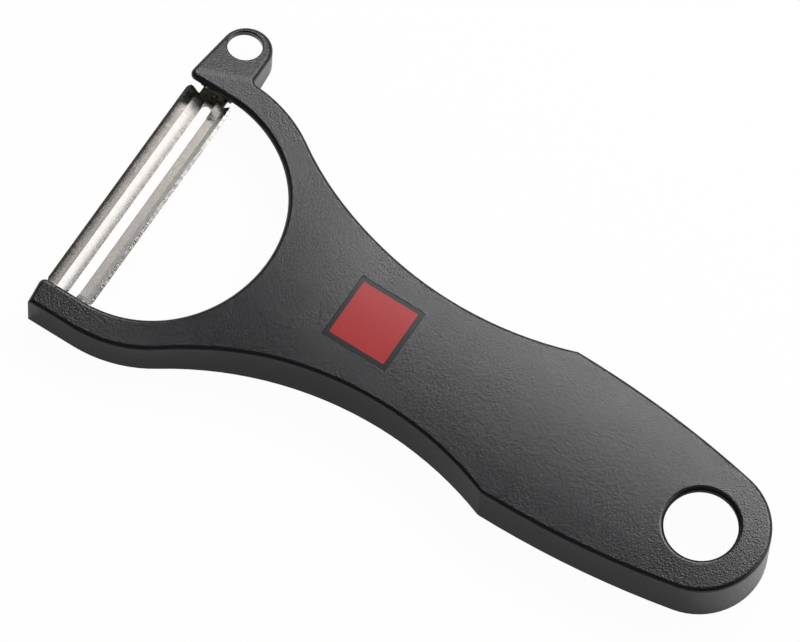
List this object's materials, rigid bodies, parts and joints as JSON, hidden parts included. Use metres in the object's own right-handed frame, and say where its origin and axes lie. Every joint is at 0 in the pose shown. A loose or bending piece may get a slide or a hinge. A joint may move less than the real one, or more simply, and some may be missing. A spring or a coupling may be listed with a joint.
{
  "type": "vegetable peeler",
  "caption": "Fork-shaped vegetable peeler: a slotted two-edged blade swivels between the arms of a moulded handle with a hang hole and an eye remover.",
  "frame": {"origin": "on the axis of the hang hole, half way through the plate that it goes through", "axes": "+Y runs along the handle from the hang hole to the blade, +X to the side that carries the eye remover, +Z out of the face, away from the open back"},
  "size_m": [0.0677, 0.1352, 0.0115],
  "materials": {
    "moulding": "fine grained black moulding with smooth edges",
    "badge": "smooth red with a dark border",
    "blade": "ground across its length",
    "pins": "drawn wire"
  },
  "bodies": {
    "handle": {"body": "moulding", "badge": "badge", "pivot_pins": "pins"},
    "blade": {"swivel_blade": "blade"}
  },
  "joints": [
    {"name": "blade_swivel", "type": "hinge", "parent": "handle", "child": "blade", "pos_m": [0, 0.1175, -0.00583], "axis": [1, 0, 0], "range_deg": [-25, 25]}
  ]
}
